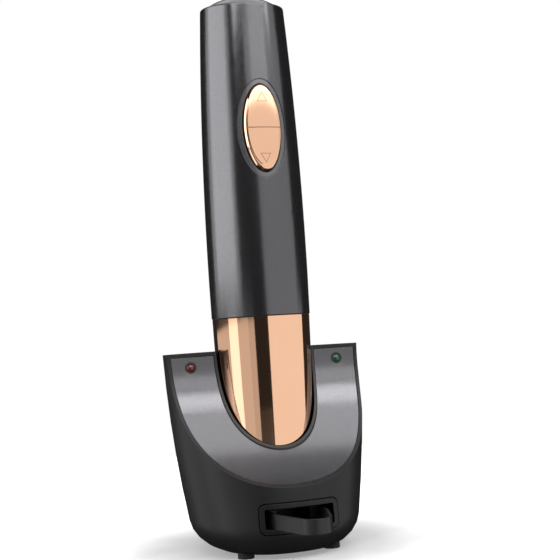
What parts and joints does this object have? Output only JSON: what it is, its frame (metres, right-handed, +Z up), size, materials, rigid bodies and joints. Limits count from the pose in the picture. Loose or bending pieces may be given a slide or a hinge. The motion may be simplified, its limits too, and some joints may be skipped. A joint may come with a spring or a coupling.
{
  "type": "electric wine opener",
  "caption": "Barrel-shaped cordless wine opener with an oval rocker and polished sleeve, standing in a flared charging stand with a U-shaped face and a slot for its foil cutter.",
  "frame": {"origin": "on the opener's axis at the level of the table, under the middle of the socket", "axes": "+Z up along the opener's axis, -Y towards the front with the button, fascia and foil cutter, +X to the right as seen from the front"},
  "size_m": [0.1014, 0.1175, 0.2819],
  "materials": {
    "stand_plastic": "fine matt moulded texture",
    "socket_plastic": "smooth black",
    "slot_plastic": "semi-gloss",
    "charcoal_paint": "satin metallic charcoal paint with a fine sparkle",
    "bezel_paint": "satin grey",
    "copper_plate": "polished rose-gold plating",
    "foot_rubber": "matt",
    "red_lens": "clear tinted lens",
    "green_lens": "clear tinted lens",
    "black_trim": "black",
    "circuit_board": "green solder mask",
    "inner_plastic": "moulded",
    "gear_plastic": "natural moulded",
    "steel": "bright steel",
    "contact_brass": "plated",
    "cell_wrap": "shrink wrap",
    "cutter_plastic": "satin dark grey"
  },
  "bodies": {
    "stand": {"stand_body": "stand_plastic", "u_fascia": "charcoal_paint", "socket_liner": "socket_plastic", "bottom_cover": "stand_plastic", "cover_screws": "steel", "rubber_feet": "foot_rubber", "cutter_bay": "slot_plastic", "lamp_red": "red_lens", "lamp_green": "green_lens", "lamp_rings": "black_trim", "charge_board": "circuit_board", "contact_block": "inner_plastic", "power_jack": "black_trim"},
    "charge_pin_left": {"charge_pin_left": "contact_brass"},
    "charge_pin_right": {"charge_pin_right": "contact_brass"},
    "opener": {"handle_shell": "charcoal_paint", "top_cap": "charcoal_paint", "seam_gasket": "foot_rubber", "sleeve": "copper_plate", "neck_guide": "inner_plastic", "contact_pads": "contact_brass", "lip_stop": "inner_plastic", "cork_chamber": "inner_plastic", "housing_screws": "steel", "gearbox_housing": "gear_plastic", "motor_can": "steel", "motor_yoke": "inner_plastic", "battery_cells": "cell_wrap", "battery_tray": "inner_plastic", "control_board": "circuit_board", "push_switches": "black_trim", "button_bezel": "bezel_paint", "rocker_pin": "steel"},
    "rocker": {"rocker_button": "copper_plate"},
    "rotor": {"motor_rotor": "steel"},
    "first_carrier": {"first_carrier": "gear_plastic"},
    "worm": {"output_carrier": "steel", "worm": "steel"},
    "foil_cutter": {"cutter_frame": "cutter_plastic", "wheel_pins": "steel"},
    "planet_a1": {"planet_a1": "gear_plastic"},
    "planet_a2": {"planet_a2": "gear_plastic"},
    "planet_a3": {"planet_a3": "gear_plastic"},
    "planet_b1": {"planet_b1": "gear_plastic"},
    "planet_b2": {"planet_b2": "gear_plastic"},
    "planet_b3": {"planet_b3": "gear_plastic"},
    "cutter_wheel_1": {"cutter_wheel_1": "steel"},
    "cutter_wheel_2": {"cutter_wheel_2": "steel"},
    "cutter_wheel_3": {"cutter_wheel_3": "steel"},
    "cutter_wheel_4": {"cutter_wheel_4": "steel"}
  },
  "joints": [
    {"name": "opener_lift", "type": "slide", "parent": "stand", "child": "opener", "axis": [0, 0, 1], "range_m": [0, 0.08]},
    {"name": "rocker_tilt", "type": "hinge", "parent": "opener", "child": "rocker", "pos_m": [0, -0.0196, 0.2091], "axis": [1, 0, 0], "range_deg": [-3, 3], "stiffness_Nm_per_rad": 0.08},
    {"name": "charge_pin_left_press", "type": "slide", "parent": "stand", "child": "charge_pin_left", "axis": [0, 0, -1], "range_m": [0, 0.0012], "stiffness_N_per_m": 200},
    {"name": "charge_pin_right_press", "type": "slide", "parent": "stand", "child": "charge_pin_right", "axis": [0, 0, -1], "range_m": [0, 0.0012], "stiffness_N_per_m": 200},
    {"name": "worm_spin", "type": "hinge", "parent": "opener", "child": "worm", "pos_m": [0, 0, 0.13], "axis": [0, 0, 1], "continuous": true},
    {"name": "rotor_spin", "type": "hinge", "parent": "opener", "child": "rotor", "pos_m": [0, 0, 0.16], "axis": [0, 0, 1], "continuous": true},
    {"name": "first_carrier_spin", "type": "hinge", "parent": "opener", "child": "first_carrier", "pos_m": [0, 0, 0.148], "axis": [0, 0, 1], "continuous": true},
    {"name": "planet_a1_spin", "type": "hinge", "parent": "first_carrier", "child": "planet_a1", "pos_m": [0.009, 0, 0.154], "axis": [0, 0, 1], "continuous": true},
    {"name": "planet_b1_spin", "type": "hinge", "parent": "worm", "child": "planet_b1", "pos_m": [0.009, 0, 0.141], "axis": [0, 0, 1], "continuous": true},
    {"name": "planet_a2_spin", "type": "hinge", "parent": "first_carrier", "child": "planet_a2", "pos_m": [-0.0045, 0.00779, 0.154], "axis": [0, 0, 1], "continuous": true},
    {"name": "planet_b2_spin", "type": "hinge", "parent": "worm", "child": "planet_b2", "pos_m": [-0.0045, 0.00779, 0.141], "axis": [0, 0, 1], "continuous": true},
    {"name": "planet_a3_spin", "type": "hinge", "parent": "first_carrier", "child": "planet_a3", "pos_m": [-0.0045, -0.00779, 0.154], "axis": [0, 0, 1], "continuous": true},
    {"name": "planet_b3_spin", "type": "hinge", "parent": "worm", "child": "planet_b3", "pos_m": [-0.0045, -0.00779, 0.141], "axis": [0, 0, 1], "continuous": true},
    {"name": "cutter_slide", "type": "slide", "parent": "stand", "child": "foil_cutter", "axis": [0, -1, 0], "range_m": [0, 0.035]},
    {"name": "cutter_wheel_1_spin", "type": "hinge", "parent": "foil_cutter", "child": "cutter_wheel_1", "pos_m": [-0.0102, -0.02123, 0.0191], "axis": [0, 0, 1], "continuous": true},
    {"name": "cutter_wheel_2_spin", "type": "hinge", "parent": "foil_cutter", "child": "cutter_wheel_2", "pos_m": [-0.0102, -0.02863, 0.0191], "axis": [0, 0, 1], "continuous": true},
    {"name": "cutter_wheel_3_spin", "type": "hinge", "parent": "foil_cutter", "child": "cutter_wheel_3", "pos_m": [0.0102, -0.02123, 0.0191], "axis": [0, 0, 1], "continuous": true},
    {"name": "cutter_wheel_4_spin", "type": "hinge", "parent": "foil_cutter", "child": "cutter_wheel_4", "pos_m": [0.0102, -0.02863, 0.0191], "axis": [0, 0, 1], "continuous": true}
  ],
  "couplings": [
    {"joint": "worm_spin", "follows": "rotor_spin", "ratio": 0.027778},
    {"joint": "first_carrier_spin", "follows": "rotor_spin", "ratio": 0.16667},
    {"joint": "planet_a1_spin", "follows": "rotor_spin", "ratio": -0.41667},
    {"joint": "planet_b1_spin", "follows": "rotor_spin", "ratio": -0.069444},
    {"joint": "planet_a2_spin", "follows": "rotor_spin", "ratio": -0.41667},
    {"joint": "planet_b2_spin", "follows": "rotor_spin", "ratio": -0.069444},
    {"joint": "planet_a3_spin", "follows": "rotor_spin", "ratio": -0.41667},
    {"joint": "planet_b3_spin", "follows": "rotor_spin", "ratio": -0.069444}
  ]
}
